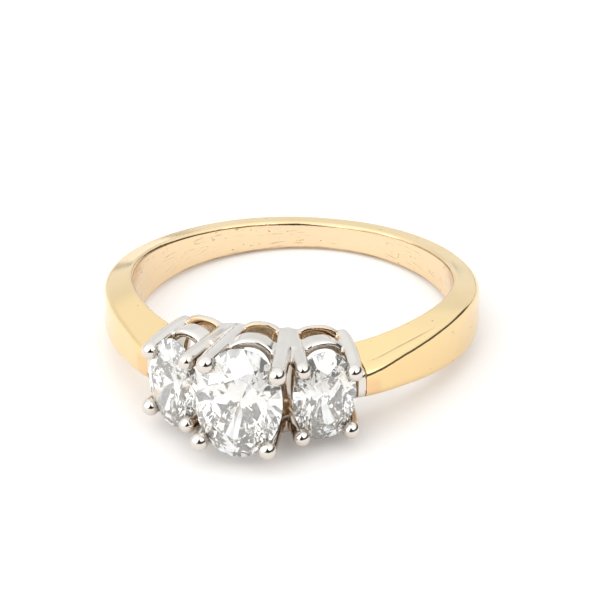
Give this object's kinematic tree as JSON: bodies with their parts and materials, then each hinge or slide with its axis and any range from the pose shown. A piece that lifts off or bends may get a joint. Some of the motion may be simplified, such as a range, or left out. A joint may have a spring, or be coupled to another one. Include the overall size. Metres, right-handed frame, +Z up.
{
  "type": "three stone ring",
  "caption": "Two tone finger ring: a tapered yellow gold band with a white metal head that holds three oval brilliants in prongs.",
  "frame": {"origin": "on the floor, under the middle of the ring as it lies on its side", "axes": "+Z up, the head with the stones points to -Y, +X to the right when the stones are seen from the front"},
  "size_m": [0.0198, 0.0239, 0.0068],
  "materials": {
    "yellow_gold": "polished yellow gold",
    "white_metal": "polished white metal",
    "stone": "clear faceted stone"
  },
  "bodies": {
    "root": {"shank": "yellow_gold", "head": "white_metal", "centre_stone": "stone", "left_stone": "stone", "right_stone": "stone"}
  },
  "joints": []
}
